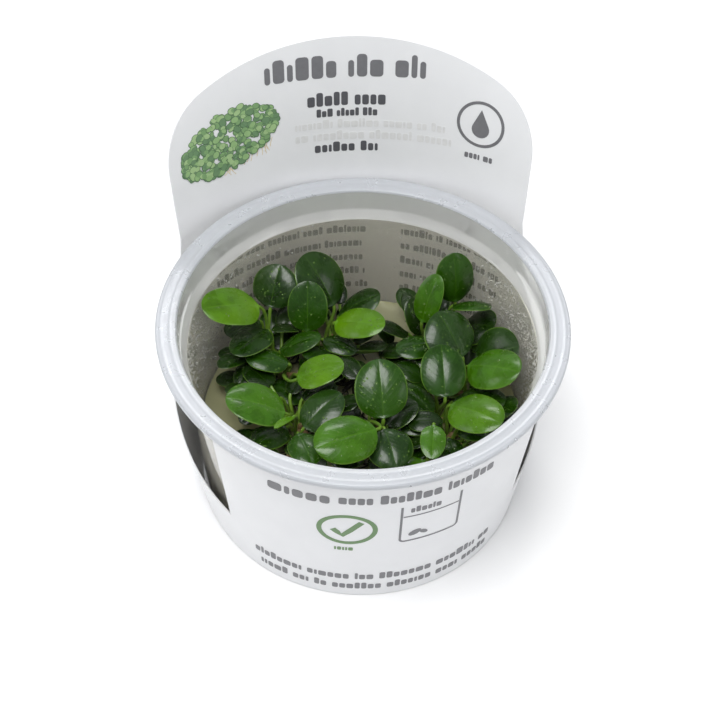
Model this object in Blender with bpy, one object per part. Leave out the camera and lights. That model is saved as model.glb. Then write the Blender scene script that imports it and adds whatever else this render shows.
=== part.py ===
"""Tissue-culture cup of dwarf anubias: a tapered round cup with a flange rim, a printed card
sleeve whose back rises into a header, a disc of nutrient gel and small plants rooted in it.

Lengths are in millimetres until a vertex is made. The origin is the centre of the cup's
underside, +Z is up, the header stands at +Y and the card's front panel faces -Y.
"""
import math
from collections import namedtuple

import bmesh
import bpy
from mathutils import Vector

MM = 0.001

# ---- driving dimensions of the cup ------------------------------------------------------
CUP_HEIGHT = 54.7
FLANGE_RADIUS = 47.5
FLANGE_INNER_RADIUS = 42.6
BASE_RADIUS = 39.5
WALL = 0.8
LEDGE_TOP = 48.7            # where the wide upper band of the cup meets its inward step
LEDGE_BOTTOM = 46.4
LEDGE_INNER_RADIUS = 40.8
FLOOR = 1.0                 # thickness of the cup's floor
FLOOR_INNER_RADIUS = 38.7
ROUND_SEGMENTS = 50

# ---- gel --------------------------------------------------------------------------------
GAP = 0.3                   # clearance between touching pieces
GEL_TOP = 17.8
GEL_MENISCUS = 0.7

# ---- card sleeve and header -------------------------------------------------------------
CARD = 0.35
SLEEVE_RADIUS = 40.25       # outside of the card at the base
SLEEVE_TAPER = 0.0948       # growth of that radius for each millimetre of height
BAND_TOP = 15.7             # height of the low band at the front corners of the side windows
PANEL_TOP = 51.7            # the card under the flange
PANEL_LEFT = 52.0           # degrees from the front to the front panel's left edge
PANEL_RIGHT = 56.5          # and to its right edge
HEADER_HALF_WIDTH = 46.4
HEADER_TOP = 93.5
HEADER_ARCH_RADIUS = 79.0
HEADER_CORNER_RADIUS = 19.0
HEADER_BACK_AT_BASE = 41.1  # distance from the axis to the back of the card at the base
HEADER_LEAN = 0.13          # how far the back leans out for each millimetre of height
HEADER_CURVE_AT_BASE = 0.0246
HEADER_UNCURL = 0.00016     # loss of that curvature for each millimetre of height

# ---- plants -----------------------------------------------------------------------------
RHIZOME_RADIUS = 1.5
RHIZOME_HEIGHT = GEL_TOP + GAP + RHIZOME_RADIUS
PETIOLE_RADIUS = 0.5
BLADE_THICKNESS = 0.5

# foot: how far along its rhizome the petiole starts, from 0 to 1
# base: the point where the petiole meets the blade
# heading, pitch, roll: the way the blade points, its rise, and the dip of its right edge
Leaf = namedtuple("Leaf", "foot base heading pitch roll length width")

RHIZOMES = {
    "a": ((-24, 21), (-18, 12)),
    "b": ((-11, 21), (-3, 22)),
    "c": ((-17, 1), (-16, -12)),
    "d": ((1, -8), (4, -16)),
    "e": ((17, 21), (25, 18)),
    "f": ((22, 11), (26, 2)),
    "g": ((19, -4), (21, -13)),
    "h": ((9, -19), (14, -20)),
}

LEAVES = {
    "a": (
        Leaf(0.30, (-24, 18, 40.5), -155, 25, -15, 16, 11),
        Leaf(0.10, (-21, 24.5, 33), 68, 45, 0, 11, 11.5),
        Leaf(0.00, (-24, 22.5, 30), -148, 10, 0, 10, 8),
        Leaf(0.50, (-22, 17.5, 32), -132, 12, 0, 13, 8.5),
        Leaf(1.00, (-17.5, 8.5, 29.5), 173, 12, 0, 10.5, 7),
        Leaf(0.70, (-25.5, 13.5, 26.5), -117, -5, 0, 9.5, 6),
        Leaf(0.80, (-19, 16, 26), -4, 28, 0, 11.5, 7),
        Leaf(1.10, (-15.5, 0.5, 33), 3, 20, 0, 12, 9.5),
    ),
    "b": (
        Leaf(0.45, (-5, 26, 31), 132, 45, 0, 15, 13.5),
        Leaf(0.10, (-12, 19.5, 29), 85, 60, 0, 13, 10),
        Leaf(0.80, (-5, 19.5, 31.5), -27, 20, 15, 14, 9),
        Leaf(1.00, (-3.5, 26, 27), 0, 35, 0, 12.5, 10),
        Leaf(0.45, (-8, 18, 27), -24, -5, 0, 9, 6),
        Leaf(0.15, (-14, 14.5, 23.5), -35, 10, 0, 11.5, 8),
    ),
    "c": (
        Leaf(0.30, (-19, -10, 33.5), 173, 20, 0, 14.5, 11.5),
        Leaf(0.15, (-14, 1.5, 24), 152, 5, 0, 9.5, 7),
        Leaf(0.90, (-14.5, -11.5, 29.5), 36, 20, 0, 12, 9.5),
        Leaf(0.65, (-17, -12, 34.5), -129, 25, 0, 8, 2),
        Leaf(0.50, (-19, -8.5, 26), -138, 15, 0, 10.5, 8),
        Leaf(1.15, (-16, -14.5, 31), -73, 0, 0, 9.5, 8),
    ),
    "d": (
        Leaf(-0.15, (1.5, -19.5, 37.5), -158, 7, -15, 15.5, 12),
        Leaf(0.30, (4, -13.5, 34), 92, 36, 0, 14, 12.5),
        Leaf(1.00, (4, -16.5, 33.5), -78, -15, 0, 10, 11),
        Leaf(0.55, (-1, -16.5, 25), -158, 7, 0, 8.5, 7),
    ),
    "e": (
        Leaf(0.80, (25.5, 22.5, 34), 100, 70, 0, 13.5, 10),
        Leaf(0.20, (16.5, 17.5, 32.5), 53, 58, 0, 13, 7),
        Leaf(0.00, (17.5, 20.5, 24.5), 121, 53, 0, 10, 7),
        Leaf(0.95, (24.5, 19.2, 36), -31, 23, -20, 10.5, 6.6),
        Leaf(1.10, (27.5, 19.5, 28), -45, 35, 25, 11, 10.5),
        Leaf(0.35, (19, 13, 29), -165, 6, 0, 10, 7.5),
    ),
    "f": (
        Leaf(0.45, (25, 5, 33), 122, 34, 0, 12.5, 13.5),
        Leaf(0.75, (29, 7, 29), -20, 40, 30, 13, 13),
        Leaf(1.05, (26, 1, 34), -40, 29, 20, 15.5, 11.5),
    ),
    "g": (
        Leaf(0.60, (20.5, -10, 33), -44, 19, 10, 15, 11),
        Leaf(0.30, (16.8, -7, 26.5), 142, 22, 0, 10, 6.6),
        Leaf(0.05, (22, -5, 28), -23, 23, 0, 13.5, 10),
        Leaf(0.50, (17.5, -9.5, 26), -172, 0, 0, 9, 6),
        Leaf(1.15, (20, -13.5, 24.5), -78, 0, 0, 6.5, 5),
        Leaf(0.85, (23, -12, 27), -48, 22, 0, 8, 6.5),
        Leaf(0.20, (31, -6.5, 28), -63, 37, 20, 10, 8),
        Leaf(-0.05, (19.5, -6.5, 32), 90, 28, 0, 13, 11),
    ),
    "h": (
        Leaf(1.00, (15.5, -16.5, 34), -99, -6, 0, 9, 6),
        Leaf(0.40, (13, -21.5, 27), -151, 8, 0, 7, 6),
    ),
}

PETIOLE_RINGS = 4
BLADE_RINGS = (0.03, 0.12, 0.28, 0.48, 0.68, 0.86, 0.97)
BLADE_DROOP = math.radians(35)      # how far a blade arches over from base to tip
BLADE_DOME = 0.18                   # how far its edges fall, as a share of its half width
BLADE_SKEW = 0.9                    # under 1 sets the widest place nearer the base
BLADE_FULLNESS = 2.3                # 2 gives an oval; more fills out its ends


def clear_scene():
    """Remove whatever objects the opened file holds."""
    for obj in list(bpy.data.objects):
        bpy.data.objects.remove(obj, do_unlink=True)


def material(name, colour, roughness, alpha=1.0):
    """A Principled material with one colour."""
    made = bpy.data.materials.new(name)
    made.use_nodes = True
    shader = made.node_tree.nodes["Principled BSDF"]
    shader.inputs["Base Color"].default_value = (*colour, 1.0)
    shader.inputs["Roughness"].default_value = roughness
    shader.inputs["Metallic"].default_value = 0.0
    shader.inputs["Alpha"].default_value = alpha
    made.diffuse_color = (*colour, alpha)
    return made


def finish_object(name, bm, surface):
    """Turn a bmesh in millimetres into a named object in metres with its faces outward."""
    bmesh.ops.recalc_face_normals(bm, faces=bm.faces)
    bmesh.ops.scale(bm, vec=(MM, MM, MM), verts=bm.verts)
    mesh = bpy.data.meshes.new(name)
    bm.to_mesh(mesh)
    bm.free()
    mesh.shade_smooth()
    mesh.set_sharp_from_angle(angle=math.radians(35))
    mesh.materials.append(surface)
    obj = bpy.data.objects.new(name, mesh)
    bpy.context.scene.collection.objects.link(obj)
    return obj


def turned_solid(name, profile, surface):
    """Turn a profile of (radius, height) points that starts and ends on the axis."""
    bm = bmesh.new()
    turns = [2 * math.pi * step / ROUND_SEGMENTS for step in range(ROUND_SEGMENTS)]
    rings = []
    for radius, height in profile:
        if radius == 0:
            rings.append([bm.verts.new((0, 0, height))])
            continue
        rings.append([bm.verts.new((radius * math.cos(turn), radius * math.sin(turn), height))
                      for turn in turns])
    for lower, upper in zip(rings, rings[1:]):
        for step in range(ROUND_SEGMENTS):
            after = (step + 1) % ROUND_SEGMENTS
            corners = [lower[step % len(lower)], lower[after % len(lower)],
                       upper[after % len(upper)], upper[step % len(upper)]]
            bm.faces.new(list(dict.fromkeys(corners)))
    return finish_object(name, bm, surface)


# ---- cup and gel ------------------------------------------------------------------------
def cup_inner_radius(height):
    """Inner radius of the tapered wall below the ledge."""
    share = (height - FLOOR) / (LEDGE_BOTTOM - FLOOR)
    return FLOOR_INNER_RADIUS + share * (LEDGE_INNER_RADIUS - FLOOR_INNER_RADIUS)


def make_cup(surface):
    """Tapered cup with a stepped shoulder and a wide flange rim with a small skirt."""
    shoulder_outer = LEDGE_INNER_RADIUS + WALL
    band_outer = FLANGE_INNER_RADIUS + WALL
    skirt_bottom = CUP_HEIGHT - 1.7
    flange_bottom = CUP_HEIGHT - 1.0
    profile = (
        (0, 0),
        (BASE_RADIUS - 1.6, 0),
        (BASE_RADIUS - 0.4, 0.5),
        (BASE_RADIUS, 1.6),
        (shoulder_outer, LEDGE_BOTTOM - WALL),
        (band_outer - 0.4, LEDGE_TOP - WALL),
        (band_outer, LEDGE_TOP + 0.4),
        (band_outer, flange_bottom),
        (FLANGE_RADIUS - 0.9, flange_bottom),
        (FLANGE_RADIUS - 0.8, skirt_bottom),
        (FLANGE_RADIUS - 0.1, skirt_bottom),
        (FLANGE_RADIUS, CUP_HEIGHT - 0.4),
        (FLANGE_RADIUS - 0.4, CUP_HEIGHT),
        (FLANGE_INNER_RADIUS + 0.3, CUP_HEIGHT),
        (FLANGE_INNER_RADIUS, CUP_HEIGHT - 0.4),
        (FLANGE_INNER_RADIUS - 0.3, LEDGE_TOP),
        (LEDGE_INNER_RADIUS + 0.3, LEDGE_BOTTOM + 0.3),
        (LEDGE_INNER_RADIUS, LEDGE_BOTTOM),
        (cup_inner_radius(FLOOR + 1.4), FLOOR + 1.4),
        (FLOOR_INNER_RADIUS - 1.2, FLOOR),
        (0, FLOOR),
    )
    return turned_solid("cup", profile, surface)


def make_gel(surface):
    """Disc of gel that fills the foot of the cup and creeps a little up its wall."""
    edge_top = GEL_TOP + GEL_MENISCUS
    profile = (
        (0, FLOOR + GAP),
        (FLOOR_INNER_RADIUS - 1.6, FLOOR + GAP),
        (cup_inner_radius(FLOOR + 1.7) - GAP, FLOOR + 1.7),
        (cup_inner_radius(edge_top) - GAP, edge_top),
        (cup_inner_radius(GEL_TOP) - 2.0, GEL_TOP),
        (0, GEL_TOP),
    )
    return turned_solid("gel", profile, surface)


# ---- card sleeve and header -------------------------------------------------------------
def sleeve_radius(height):
    """Outside radius of the card where it wraps the cup as a cone."""
    return SLEEVE_RADIUS + SLEEVE_TAPER * height


def back_section(height):
    """Back distance and radius of the card's horizontal section behind the cup."""
    back = HEADER_BACK_AT_BASE + HEADER_LEAN * height
    radius = 1 / (HEADER_CURVE_AT_BASE - HEADER_UNCURL * height)
    return back, radius


def back_point(across, height):
    """Point of the card's back, at a distance across it from its centre line."""
    back, radius = back_section(height)
    turn = across / radius
    return Vector((-radius * math.sin(turn), back - radius * (1 - math.cos(turn)), height))


def side_point(side, share, height):
    """Point of the card beside a window: share 0 is the header's edge, 1 the front panel's.

    The side is 1 for the window at -X and -1 for the one at +X.
    """
    edge = back_point(side * HEADER_HALF_WIDTH, height)
    edge_angle = math.atan2(abs(edge.x), edge.y)
    front_angle = math.pi - math.radians(PANEL_LEFT if side > 0 else PANEL_RIGHT)
    angle = edge_angle + share * (front_angle - edge_angle)
    back, radius = back_section(height)
    centre = back - radius
    reach = math.sqrt(radius ** 2 - (centre * math.sin(angle)) ** 2)
    flared = centre * math.cos(angle) + reach
    ease = share * share * (3 - 2 * share)
    distance = flared + ease * (sleeve_radius(height) - flared)
    return Vector((-side * distance * math.sin(angle), distance * math.cos(angle), height))


def front_point(angle, height):
    """Point of the front panel; the angle is in degrees from the front, positive to +X."""
    turn = math.radians(angle)
    distance = sleeve_radius(height)
    return Vector((distance * math.sin(turn), -distance * math.cos(turn), height))


def window_sill(share):
    """Height of the card under a side window, from the header's edge (0) to the front (1)."""
    return BAND_TOP + (PANEL_TOP - BAND_TOP) * (1 - math.sqrt(1 - (1 - share) ** 2))


def header_top(across):
    """Height of the header's outline: an arch with a round corner at each end."""
    arch_centre = HEADER_TOP - HEADER_ARCH_RADIUS
    corner_across = HEADER_HALF_WIDTH - HEADER_CORNER_RADIUS
    between = HEADER_ARCH_RADIUS - HEADER_CORNER_RADIUS
    corner_centre = arch_centre + math.sqrt(between ** 2 - corner_across ** 2)
    touch = corner_across * HEADER_ARCH_RADIUS / between
    across = abs(across)
    if across <= touch:
        return arch_centre + math.sqrt(HEADER_ARCH_RADIUS ** 2 - across ** 2)
    reach = HEADER_CORNER_RADIUS ** 2 - (across - corner_across) ** 2
    return corner_centre + math.sqrt(max(reach, 0))


def card_columns():
    """Columns of surface points from the base up, once round the card from its back."""
    middle_row = 0.5 * PANEL_TOP
    corner_steps = 4
    flat_steps = 6
    bend = HEADER_HALF_WIDTH - HEADER_CORNER_RADIUS
    corner = [bend + HEADER_CORNER_RADIUS * math.sin(0.5 * math.pi * step / corner_steps)
              for step in range(1, corner_steps + 1)]
    flat = [bend * step / flat_steps for step in range(flat_steps + 1)]
    right_half = flat + corner
    across_steps = [-value for value in reversed(right_half[1:])] + right_half

    def header_column(across):
        top = header_top(across)
        heights = [0, middle_row, PANEL_TOP]
        heights += [PANEL_TOP + (top - PANEL_TOP) * share for share in (0.35, 0.7, 1.0)]
        return [back_point(across, height) for height in heights]

    def window_column(side, share):
        sill = window_sill(share)
        return [side_point(side, share, height) for height in (0, 0.5 * sill, sill)]

    def panel_column(angle):
        heights = (0, 0.5 * BAND_TOP, BAND_TOP, PANEL_TOP)
        return [front_point(angle, height) for height in heights]

    window_steps = 7
    panel_steps = 14
    columns = [header_column(across) for across in across_steps]
    columns += [window_column(1, step / window_steps) for step in range(1, window_steps)]
    columns += [panel_column(-PANEL_LEFT + (PANEL_LEFT + PANEL_RIGHT) * step / panel_steps)
                for step in range(panel_steps + 1)]
    columns += [window_column(-1, step / window_steps)
                for step in range(window_steps - 1, 0, -1)]
    return columns


def make_sleeve(surface):
    """One printed card: low band, front panel, two side windows and the arched header."""
    bm = bmesh.new()
    columns = [[bm.verts.new(point) for point in column] for column in card_columns()]
    for left, right in zip(columns, columns[1:] + columns[:1]):
        rows = min(len(left), len(right))
        for row in range(rows - 1):
            bm.faces.new((left[row], right[row], right[row + 1], left[row + 1]))
    bmesh.ops.recalc_face_normals(bm, faces=bm.faces)
    outward = sum(face.normal.dot(face.calc_center_median()) for face in bm.faces)
    if outward < 0:
        bmesh.ops.reverse_faces(bm, faces=bm.faces)
    bmesh.ops.solidify(bm, geom=list(bm.faces), thickness=CARD)
    return finish_object("label_sleeve", bm, surface)


# ---- plants -----------------------------------------------------------------------------
def rhizome_point(key, share):
    """Point on a rhizome's centre line."""
    start, end = (Vector((*end_point, RHIZOME_HEIGHT)) for end_point in RHIZOMES[key])
    return start.lerp(end, share)


def make_rhizome(key, surface):
    """Stubby creeping stem that lies on the gel, knobbly and rounded at its ends."""
    sides = 8
    rings = ((-0.16, 0.5), (-0.06, 0.9), (0.35, 0.9), (0.7, 1.0), (1.08, 0.85), (1.18, 0.45))
    along = (rhizome_point(key, 1) - rhizome_point(key, 0)).normalized()
    across = along.cross(Vector((0, 0, 1)))
    bm = bmesh.new()
    loops = []
    for share, swell in rings:
        centre = rhizome_point(key, share)
        radius = RHIZOME_RADIUS * swell
        loop = []
        for side in range(sides):
            turn = 2 * math.pi * side / sides
            offset = across * math.cos(turn) + Vector((0, 0, math.sin(turn)))
            loop.append(bm.verts.new(centre + radius * offset))
        loops.append(loop)
    skin(bm, loops)
    return finish_object("rhizome_" + key, bm, surface)


def skin(bm, loops):
    """Join rings of equal size into a closed skin with flat ends."""
    count = len(loops[0])
    for lower, upper in zip(loops, loops[1:]):
        for side in range(count):
            after = (side + 1) % count
            bm.faces.new((lower[side], lower[after], upper[after], upper[side]))
    bm.faces.new(loops[0])
    bm.faces.new(loops[-1])


def blade_half_width(share):
    """Half width of a blade from base (0) to tip (1), where the widest place is 1."""
    return math.sqrt(1 - abs(2 * share ** BLADE_SKEW - 1) ** BLADE_FULLNESS)


def blade_axes(leaf):
    """Unit vectors along the blade, out of its upper side and towards its right edge."""
    heading, pitch, roll = (math.radians(angle) for angle in (leaf.heading, leaf.pitch, leaf.roll))
    along = Vector((math.cos(heading) * math.cos(pitch), math.sin(heading) * math.cos(pitch),
                    math.sin(pitch)))
    level = Vector((math.sin(heading), -math.cos(heading), 0))
    upright = level.cross(along)
    up = upright * math.cos(roll) + level * math.sin(roll)
    return along, up, along.cross(up)


def blade_centre(leaf, share):
    """Point of the arched midrib, and the midrib's direction there."""
    along, up, _ = blade_axes(leaf)
    radius = leaf.length / (2 * math.sin(BLADE_DROOP / 2))
    start = BLADE_DROOP / 2
    turn = start - BLADE_DROOP * share
    forward = radius * (math.sin(start) - math.sin(turn))
    rise = radius * (math.cos(turn) - math.cos(start))
    point = Vector(leaf.base) + along * forward + up * rise
    return point, along * math.cos(turn) + up * math.sin(turn)


def petiole_point(key, leaf, share):
    """Point on the curved stalk from the rhizome to the blade, and its direction there."""
    base, arrival = blade_centre(leaf, 0)
    root = rhizome_point(key, leaf.foot)
    along = (rhizome_point(key, 1) - rhizome_point(key, 0)).normalized()
    towards = (base - root).normalized()
    leave = (towards - along * towards.dot(along)).normalized()
    foot = root + leave * (RHIZOME_RADIUS + GAP + 0.1)
    reach = (base - foot).length
    points = (foot, foot + leave * (0.4 * reach), base - arrival * (0.25 * reach), base)
    rest = 1 - share
    weights = (rest ** 3, 3 * rest ** 2 * share, 3 * rest * share ** 2, share ** 3)
    place = sum((point * weight for point, weight in zip(points, weights)), Vector())
    slopes = (rest ** 2, 2 * rest * share, share ** 2)
    steps = (points[1] - points[0], points[2] - points[1], points[3] - points[2])
    direction = sum((step * slope for step, slope in zip(steps, slopes)), Vector())
    return place, direction.normalized()


def leaf_ring(bm, centre, direction, side, half_width, half_thick, fall):
    """Six points round a stalk or blade: an edge, two above, an edge and two below."""
    right = (side - direction * side.dot(direction)).normalized()
    up = right.cross(direction)
    shape = ((-1, 0), (-0.55, 1), (0.55, 1), (1, 0), (0.55, -1), (-0.55, -1))
    ring = []
    for across, above in shape:
        drop = fall * across * across
        ring.append(bm.verts.new(centre + right * (across * half_width)
                                 + up * (above * half_thick - drop)))
    return ring


def make_leaf(name, key, leaf, surface):
    """One leaf: a round stalk that flattens into an arched oval blade."""
    bm = bmesh.new()
    side = blade_axes(leaf)[2]
    loops = []
    for ring in range(PETIOLE_RINGS):
        centre, direction = petiole_point(key, leaf, ring / (PETIOLE_RINGS - 1))
        loops.append(leaf_ring(bm, centre, direction, side, PETIOLE_RADIUS, PETIOLE_RADIUS, 0))
    for share in BLADE_RINGS:
        centre, direction = blade_centre(leaf, share)
        half_width = 0.5 * leaf.width * blade_half_width(share)
        loops.append(leaf_ring(bm, centre, direction, side, half_width,
                               0.5 * BLADE_THICKNESS, BLADE_DOME * half_width))
    centre, direction = blade_centre(leaf, 1)
    loops.append(leaf_ring(bm, centre, direction, side, 0.3, 0.2, 0))
    skin(bm, loops)
    return finish_object(name, bm, surface)


def main():
    clear_scene()
    plastic = material("cup_plastic", (0.82, 0.83, 0.84), 0.35, 0.5)
    card = material("printed_card", (0.86, 0.87, 0.88), 0.55)
    gel = material("nutrient_gel", (0.62, 0.58, 0.44), 0.25, 0.6)
    rhizome = material("rhizome_skin", (0.2, 0.16, 0.06), 0.6)
    blade = material("leaf_green", (0.06, 0.22, 0.02), 0.3)

    make_cup(plastic)
    make_gel(gel)
    make_sleeve(card)
    for key, leaves in LEAVES.items():
        make_rhizome(key, rhizome)
        for number, leaf in enumerate(leaves, start=1):
            make_leaf("leaf_%s%d" % (key, number), key, leaf, blade)


main()
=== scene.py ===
"""Looks of the anubias plant cup: a milky cup in a printed card sleeve, with a disc of gel and
two clumps of dwarf anubias rooted in it, under soft studio light.

Lengths are in millimetres until a mesh is made. The origin is the centre of the cup's
underside, +Z is up, the card's header stands at +Y and its front panel faces -Y.
"""
import random
from collections import namedtuple
from math import atan2, ceil, cos, degrees, exp, hypot, pi, radians, sin, sqrt

import bmesh
import bpy
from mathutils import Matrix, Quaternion, Vector
from mathutils.bvhtree import BVHTree

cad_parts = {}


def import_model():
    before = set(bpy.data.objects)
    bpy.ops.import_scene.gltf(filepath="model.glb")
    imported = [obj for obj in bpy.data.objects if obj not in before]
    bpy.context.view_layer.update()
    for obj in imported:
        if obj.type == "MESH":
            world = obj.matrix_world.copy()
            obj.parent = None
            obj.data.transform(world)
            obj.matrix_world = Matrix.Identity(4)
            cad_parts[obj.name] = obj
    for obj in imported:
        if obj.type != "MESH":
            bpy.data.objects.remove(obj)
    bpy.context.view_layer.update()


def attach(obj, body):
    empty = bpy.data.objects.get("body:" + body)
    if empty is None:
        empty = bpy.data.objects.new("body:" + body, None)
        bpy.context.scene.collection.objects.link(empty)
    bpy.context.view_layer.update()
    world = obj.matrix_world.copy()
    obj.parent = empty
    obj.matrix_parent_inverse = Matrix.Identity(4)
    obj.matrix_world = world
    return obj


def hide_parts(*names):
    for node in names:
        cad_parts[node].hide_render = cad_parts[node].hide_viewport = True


MM = 0.001
BODY = "root"

# ---- cup, the same driving dimensions as the CAD ----
CUP_HEIGHT = 54.7
FLANGE_RADIUS = 47.5
FLANGE_INNER_RADIUS = 42.6
BASE_RADIUS = 39.5
WALL = 0.8
LEDGE_TOP = 48.7
LEDGE_BOTTOM = 46.4
LEDGE_INNER_RADIUS = 40.8
FLOOR = 1.0
FLOOR_INNER_RADIUS = 38.7
GAP = 0.3
GEL_TOP = 17.8
GEL_MENISCUS = 0.7

# ---- card sleeve and header ----
CARD = 0.35
SLEEVE_RADIUS = 40.25
SLEEVE_TAPER = 0.0948
BAND_TOP = 15.7
PANEL_TOP = 51.7
PANEL_LEFT = 52.0
PANEL_RIGHT = 56.5
HEADER_HALF_WIDTH = 46.4
HEADER_TOP = 93.5
HEADER_ARCH_RADIUS = 79.0
HEADER_CORNER_RADIUS = 19.0
HEADER_BACK_AT_BASE = 41.1
HEADER_LEAN = 0.13
HEADER_CURVE_AT_BASE = 0.0246
HEADER_UNCURL = 0.00016

# ---- plants ----
RHIZOME_RADIUS = 1.5
RHIZOME_HEIGHT = GEL_TOP + GAP + RHIZOME_RADIUS
PETIOLE_RADIUS = 0.5
BLADE_DROOP = radians(35)
BLADE_SKEW = 0.9
BLADE_FULLNESS = 2.3

# foot: how far along its rhizome the stalk starts, from 0 to 1
# base: the point where the stalk meets the blade
# heading, pitch, roll: the way the blade points, its rise, and the dip of its right edge
# tone: the name of the blade's green
Leaf = namedtuple("Leaf", "foot base heading pitch roll length width tone")

RHIZOMES = {
    "a": ((-24, 21), (-18, 12)),
    "b": ((-11, 21), (-3, 22)),
    "c": ((-17, 1), (-16, -12)),
    "d": ((1, -8), (4, -16)),
    "e": ((17, 21), (25, 18)),
    "f": ((22, 11), (26, 2)),
    "g": ((19, -4), (21, -13)),
    "h": ((9, -19), (14, -20)),
}

LEAVES = {
    "a": (
        Leaf(0.30, (-24, 18, 40.5), -155, 25, -15, 16, 11, "bright"),
        Leaf(0.10, (-21, 24.5, 33), 68, 45, 0, 11, 11.5, "dark"),
        Leaf(0.00, (-24, 22.5, 30), -148, 10, 0, 10, 8, "dark"),
        Leaf(0.50, (-22, 17.5, 32), -132, 12, 0, 13, 8.5, "dark"),
        Leaf(1.00, (-17.5, 8.5, 29.5), 173, 12, 0, 10.5, 7, "mid"),
        Leaf(0.70, (-25.5, 13.5, 26.5), -117, -5, 0, 9.5, 6, "deep"),
        Leaf(0.80, (-19, 16, 26), -4, 28, 0, 11.5, 7, "mid"),
        Leaf(1.10, (-15.5, 0.5, 33), 3, 20, 0, 12, 9.5, "bright"),
    ),
    "b": (
        Leaf(0.45, (-5, 26, 31), 132, 45, 0, 15, 13.5, "dark"),
        Leaf(0.10, (-12, 19.5, 29), 85, 60, 0, 13, 10, "mid"),
        Leaf(0.80, (-5, 19.5, 31.5), -27, 20, 15, 14, 9, "bright"),
        Leaf(1.00, (-3.5, 26, 27), 0, 35, 0, 12.5, 10, "dark"),
        Leaf(0.45, (-8, 18, 27), -24, -5, 0, 9, 6, "dark"),
        Leaf(0.15, (-14, 14.5, 23.5), -35, 10, 0, 11.5, 8, "dark"),
    ),
    "c": (
        Leaf(0.30, (-19, -10, 33.5), 173, 20, 0, 14.5, 11.5, "young"),
        Leaf(0.15, (-14, 1.5, 24), 152, 5, 0, 9.5, 7, "dark"),
        Leaf(0.90, (-14.5, -11.5, 29.5), 36, 20, 0, 12, 9.5, "blue"),
        Leaf(0.65, (-17, -12, 34.5), -129, 25, 0, 8, 2, "bright"),
        Leaf(0.50, (-19, -8.5, 26), -138, 15, 0, 10.5, 8, "dark"),
        Leaf(1.15, (-16, -14.5, 31), -73, 0, 0, 9.5, 8, "mid"),
    ),
    "d": (
        Leaf(-0.15, (1.5, -19.5, 37.5), -158, 7, -15, 15.5, 12, "young"),
        Leaf(0.30, (4, -13.5, 34), 92, 36, 0, 14, 12.5, "mid"),
        Leaf(1.00, (4, -16.5, 33.5), -78, -15, 0, 10, 11, "blue"),
        Leaf(0.55, (-1, -16.5, 25), -158, 7, 0, 8.5, 7, "dark"),
    ),
    "e": (
        Leaf(0.80, (25.5, 22.5, 34), 100, 70, 0, 13.5, 10, "mid"),
        Leaf(0.20, (16.5, 17.5, 32.5), 53, 58, 0, 13, 7, "young"),
        Leaf(0.00, (17.5, 20.5, 24.5), 121, 53, 0, 10, 7, "deep"),
        Leaf(0.95, (24.5, 19.2, 36), -31, 23, -20, 10.5, 6.6, "mid"),
        Leaf(1.10, (27.5, 19.5, 28), -45, 35, 25, 11, 10.5, "deep"),
        Leaf(0.35, (19, 13, 29), -165, 6, 0, 10, 7.5, "mid"),
    ),
    "f": (
        Leaf(0.45, (25, 5, 33), 122, 34, 0, 12.5, 13.5, "blue"),
        Leaf(0.75, (29, 7, 29), -20, 40, 30, 13, 13, "dark"),
        Leaf(1.05, (26, 1, 34), -40, 29, 20, 15.5, 11.5, "young"),
    ),
    "g": (
        Leaf(0.60, (20.5, -10, 33), -44, 19, 10, 15, 11, "fresh"),
        Leaf(0.30, (16.8, -7, 26.5), 142, 22, 0, 10, 6.6, "dark"),
        Leaf(0.05, (22, -5, 28), -23, 23, 0, 13.5, 10, "dark"),
        Leaf(0.50, (17.5, -9.5, 26), -172, 0, 0, 9, 6, "dark"),
        Leaf(1.15, (20, -13.5, 24.5), -78, 0, 0, 6.5, 5, "dark"),
        Leaf(0.85, (23, -12, 27), -48, 22, 0, 8, 6.5, "mid"),
        Leaf(0.20, (31, -6.5, 28), -63, 37, 20, 10, 8, "dark"),
        Leaf(-0.05, (19.5, -6.5, 32), 90, 28, 0, 13, 11, "mid"),
    ),
    "h": (
        Leaf(1.00, (15.5, -16.5, 34), -99, -6, 0, 9, 6, "young"),
        Leaf(0.40, (13, -21.5, 27), -151, 8, 0, 7, 6, "young"),
    ),
}

YOUNG_TONES = ("bright", "fresh", "young")

# linear colours of a blade's skin, and how far its veins lighten it
TONES = {
    "bright": ((0.070, 0.190, 0.001), 0.30),
    "fresh": ((0.050, 0.150, 0.001), 0.30),
    "young": ((0.038, 0.130, 0.001), 0.30),
    "mid": ((0.015, 0.062, 0.001), 0.24),
    "dark": ((0.009, 0.036, 0.001), 0.20),
    "blue": ((0.014, 0.047, 0.006), 0.20),
    # deep: the lowest leaves' green, partly their own older green and partly painted shade inside
    # the clumps
    "deep": ((0.007, 0.025, 0.001), 0.12),
}


# ---- meshes ----
UP = Vector((0, 0, 1))
ASIDE = Vector((1, 0, 0))
EASE_STEPS = 4


def turns(count):
    """Equal steps round a full turn."""
    return [2 * pi * step / count for step in range(count)]


def circle(centre, right, up, radius, count):
    """Points round a circle that lies along two unit vectors."""
    return [centre + radius * (right * cos(turn) + up * sin(turn))
            for turn in turns(count)]


def sideways(direction):
    """A unit vector at right angles to a direction."""
    return direction.cross(UP if abs(direction.z) < 0.9 else ASIDE).normalized()


def around(place, angle, reach, height):
    """Point at a distance from a place seen from above, at a height of its own."""
    return place.x + reach * cos(angle), place.y + reach * sin(angle), height


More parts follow.
